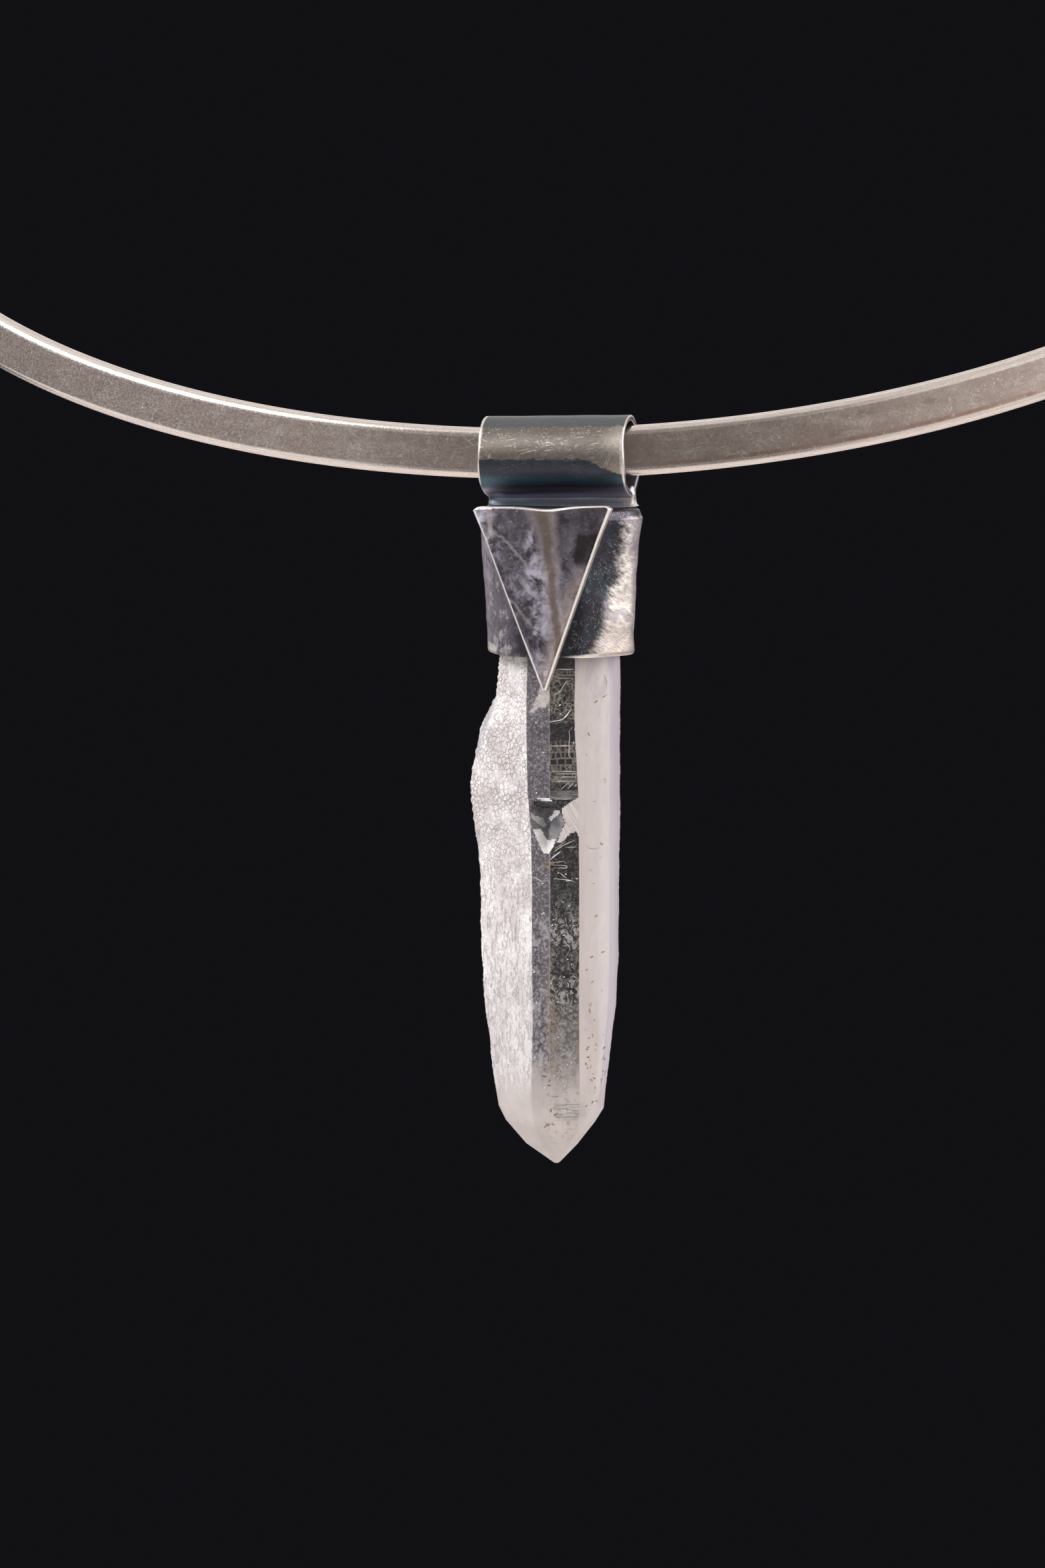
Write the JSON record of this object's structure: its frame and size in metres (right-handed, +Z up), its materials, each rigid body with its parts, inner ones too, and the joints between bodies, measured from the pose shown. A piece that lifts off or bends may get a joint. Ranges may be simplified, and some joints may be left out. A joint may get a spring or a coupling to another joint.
{
  "type": "quartz pendant on a neck ring",
  "caption": "Natural quartz point in a hammered silver cap with a folded bail and a triangular plate, hanging and swinging on a rigid open neck ring of rounded silver strip.",
  "frame": {"origin": "middle of the neck ring, where the wearer's neck goes through", "axes": "+Z up, the ring slopes down to the front, the pendant hangs at the front and faces -Y, +X to the right as seen from the front"},
  "size_m": [0.1388, 0.1266, 0.1197],
  "materials": {
    "ring_silver": "satin silver strip with fine scratches and a warm tarnish",
    "blackened_silver": "hammered silver with a blue-grey patina, rubbed bright along its edges",
    "quartz": "natural quartz, frosted on its side faces and clear at the front"
  },
  "bodies": {
    "collar": {"neck_ring": "ring_silver"},
    "pendant": {"setting": "blackened_silver", "crystal": "quartz"}
  },
  "joints": [
    {"name": "pendant_swing", "type": "hinge", "parent": "collar", "child": "pendant", "pos_m": [0.00072, -0.06006, -0.0317], "axis": [0.9912, -0.1305, 0.0227], "range_deg": [-90, 90]}
  ]
}
